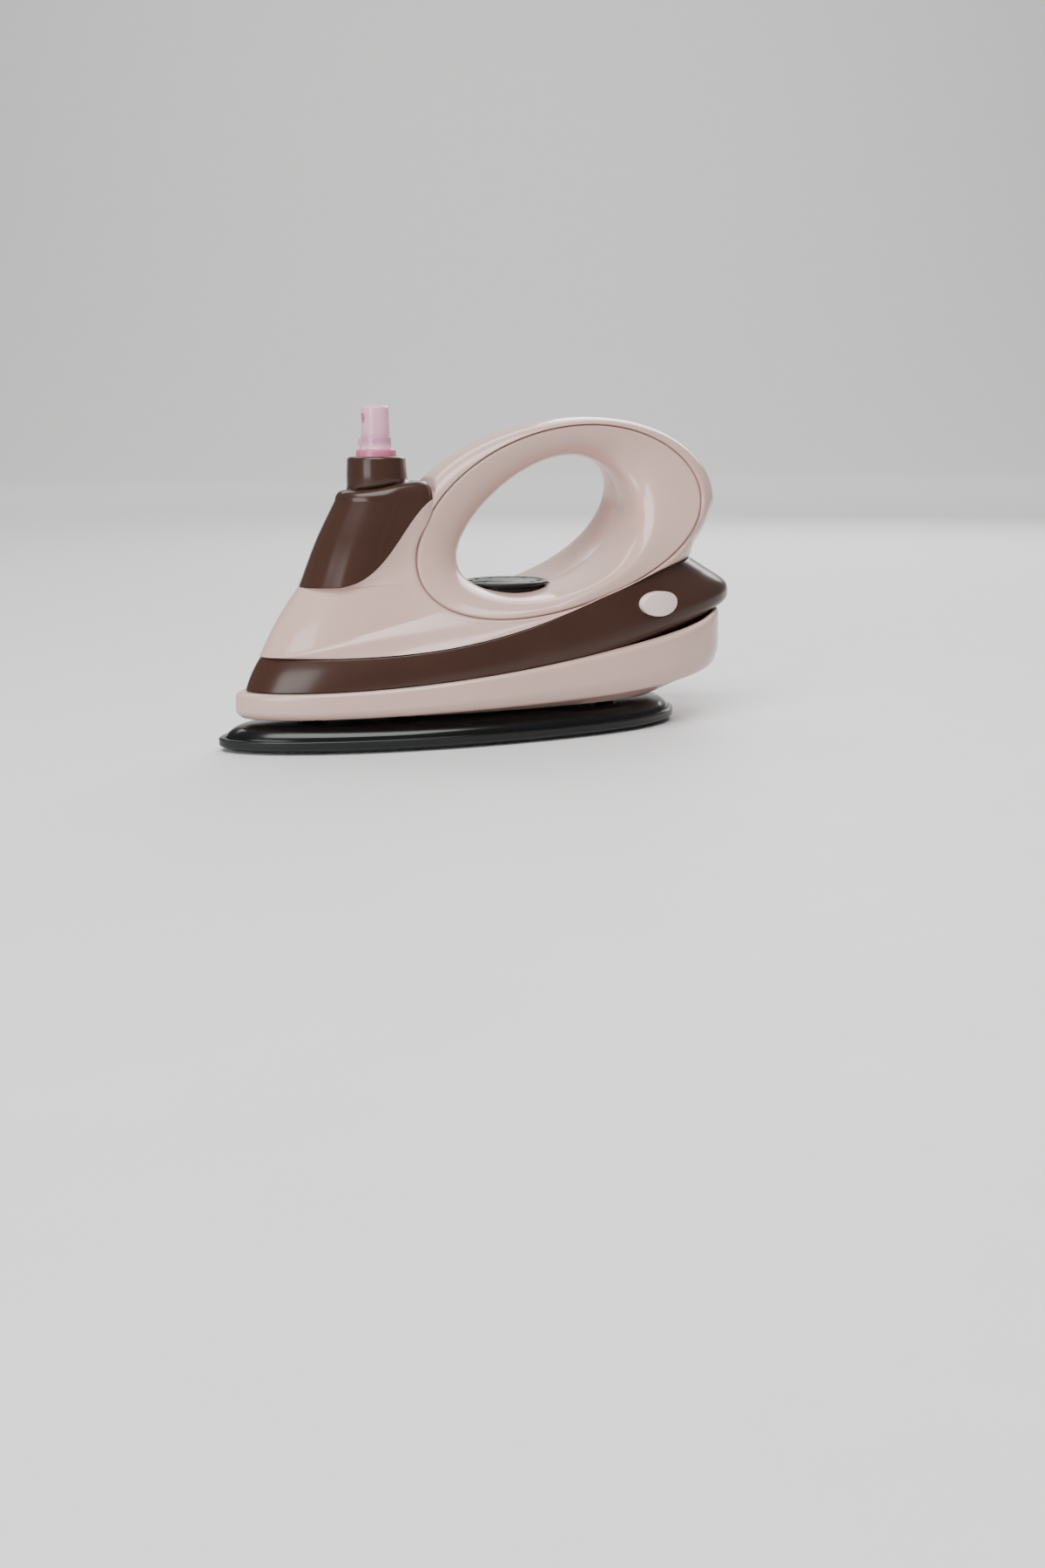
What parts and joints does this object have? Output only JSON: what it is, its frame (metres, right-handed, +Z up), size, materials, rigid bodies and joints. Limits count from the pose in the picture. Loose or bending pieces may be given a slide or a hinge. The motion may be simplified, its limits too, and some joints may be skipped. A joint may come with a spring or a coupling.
{
  "type": "toy iron",
  "caption": "Toy steam iron with a press-down sole that runs a shaker motor, a spray tank with a pump, a turning dial and side push buttons.",
  "frame": {"origin": "middle of the outer box at its lowest level, which is the underside of the sole", "axes": "+Z up, -X towards the nose, +X towards the tail, -Y the side with the left housing half"},
  "size_m": [0.178, 0.069, 0.1033],
  "materials": {
    "black_gloss": "glossy moulded plastic",
    "pink_shell": "glossy moulded plastic, dusty pink",
    "brown_gloss": "glossy moulded plastic, chocolate brown",
    "sprayer_pink": "smooth moulded plastic, deeper pink",
    "sprayer_clear": "translucent pale pink plastic",
    "pale_button": "smooth pale pink plastic",
    "inner_plastic": "plain moulded plastic",
    "black_plastic": "plain moulded plastic",
    "red_plastic": "plain plastic",
    "grey_rubber": "soft seal",
    "cell_wrap": "plain shrink wrap",
    "steel": "plated steel"
  },
  "bodies": {
    "root": {"sole_springs": "steel", "base_pan": "pink_shell", "mid_band": "brown_gloss", "housing_left": "pink_shell", "housing_right": "pink_shell", "housing_screws": "steel", "base_screws": "steel", "tank": "brown_gloss", "collar_gasket": "grey_rubber", "pump_collar": "sprayer_pink", "pump_body": "inner_plastic", "pump_cap": "inner_plastic", "dip_tube": "inner_plastic", "inlet_ball": "steel", "pump_spring": "steel", "dial_seat": "inner_plastic", "seat_screws": "steel", "button_guides": "inner_plastic", "guide_screws": "steel", "battery_box": "black_plastic", "box_screws": "steel", "battery_hatch": "black_gloss", "hatch_screw": "steel", "cells": "cell_wrap", "contact_plates": "steel", "contact_springs": "steel", "motor": "steel", "motor_clamp": "inner_plastic", "clamp_screws": "steel", "press_switch": "black_plastic", "wire_red": "red_plastic", "wire_black": "black_plastic"},
    "sole": {"sole_plate": "black_gloss", "sole_cover": "black_gloss", "sole_screws": "steel", "switch_plunger": "red_plastic"},
    "spray_stem": {"pump_piston": "inner_plastic"},
    "spray_head": {"spray_head": "sprayer_clear", "nozzle_insert": "sprayer_pink"},
    "dial": {"dial_knob": "black_gloss", "dial_clip": "steel"},
    "button_left": {"button_left": "pale_button"},
    "button_right": {"button_right": "pale_button"},
    "rotor": {"motor_shaft": "steel", "eccentric_weight": "steel"}
  },
  "joints": [
    {"name": "sole_press", "type": "slide", "parent": "root", "child": "sole", "axis": [0, 0, 1], "range_m": [0, 0.001], "stiffness_N_per_m": 2000, "springref_m": -0.003, "deforming": ["sole_springs"]},
    {"name": "spray_press", "type": "slide", "parent": "root", "child": "spray_stem", "axis": [0, 0, -1], "range_m": [0, 0.0035], "stiffness_N_per_m": 300, "springref_m": -0.003, "deforming": ["pump_spring"]},
    {"name": "spray_turn", "type": "hinge", "parent": "spray_stem", "child": "spray_head", "pos_m": [-0.0351, 0, 0.097], "axis": [0, 0, 1], "continuous": true},
    {"name": "dial_turn", "type": "hinge", "parent": "root", "child": "dial", "pos_m": [0.008, 0, 0.042], "axis": [0, 0, 1], "range_deg": [-135, 135]},
    {"name": "button_left_press", "type": "slide", "parent": "root", "child": "button_left", "axis": [-0.2419, 0.9703, 0], "range_m": [0, 0.001], "stiffness_N_per_m": 500, "springref_m": -0.001},
    {"name": "button_right_press", "type": "slide", "parent": "root", "child": "button_right", "axis": [-0.2419, -0.9703, 0], "range_m": [0, 0.001], "stiffness_N_per_m": 500, "springref_m": -0.001},
    {"name": "motor_spin", "type": "hinge", "parent": "root", "child": "rotor", "pos_m": [0.034, 0, 0.0225], "axis": [1, 0, 0], "continuous": true}
  ]
}
